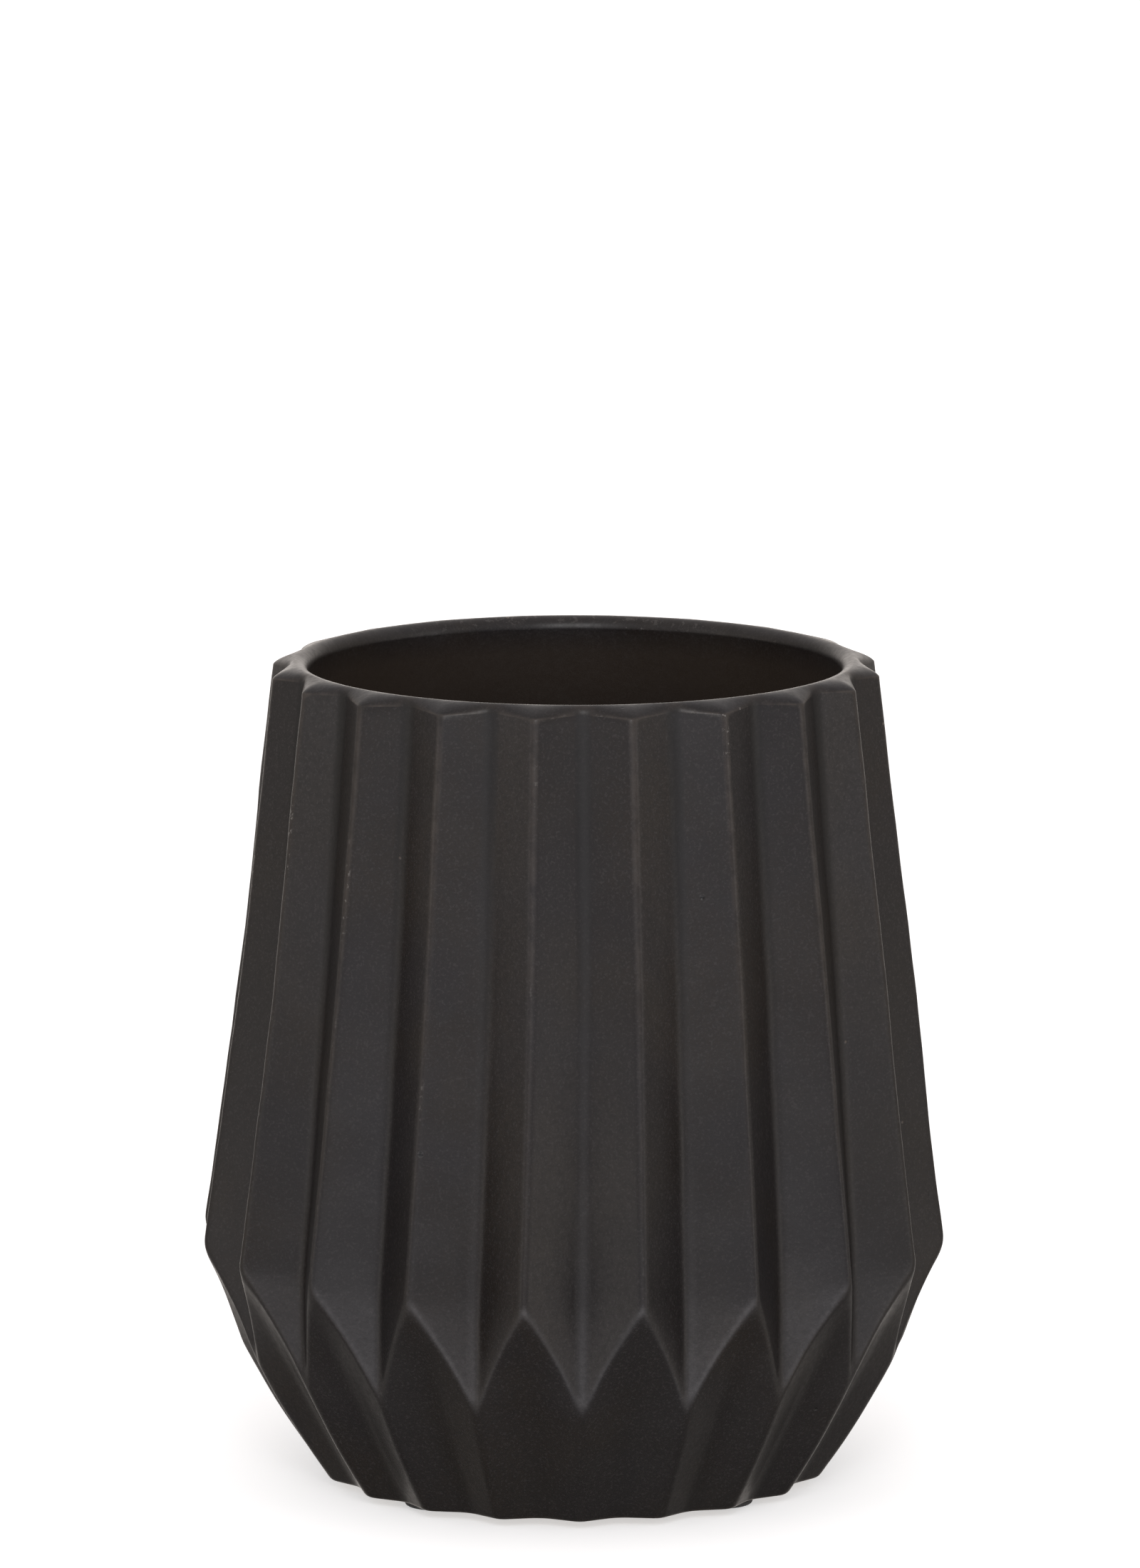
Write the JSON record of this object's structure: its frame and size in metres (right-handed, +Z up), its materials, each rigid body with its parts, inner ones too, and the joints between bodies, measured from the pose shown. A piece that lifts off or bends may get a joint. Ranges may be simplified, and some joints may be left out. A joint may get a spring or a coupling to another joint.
{
  "type": "empty candle jar",
  "caption": "Empty pleated ceramic candle jar with a round open mouth, a zigzag fold below its widest point and a narrower lobed foot on small pads.",
  "frame": {"origin": "centre of the foot, on the surface the jar stands on", "axes": "+Z up along the jar's axis, out of the mouth; -Y through the front groove of the upper pleats"},
  "size_m": [0.0884, 0.0884, 0.1],
  "materials": {
    "black_glaze": "satin-matte black glaze, lighter where it breaks over the edges",
    "pad_rubber": "matt"
  },
  "bodies": {
    "root": {"jar_body": "black_glaze", "foot_pad_1": "pad_rubber", "foot_pad_2": "pad_rubber", "foot_pad_3": "pad_rubber", "foot_pad_4": "pad_rubber"}
  },
  "joints": []
}
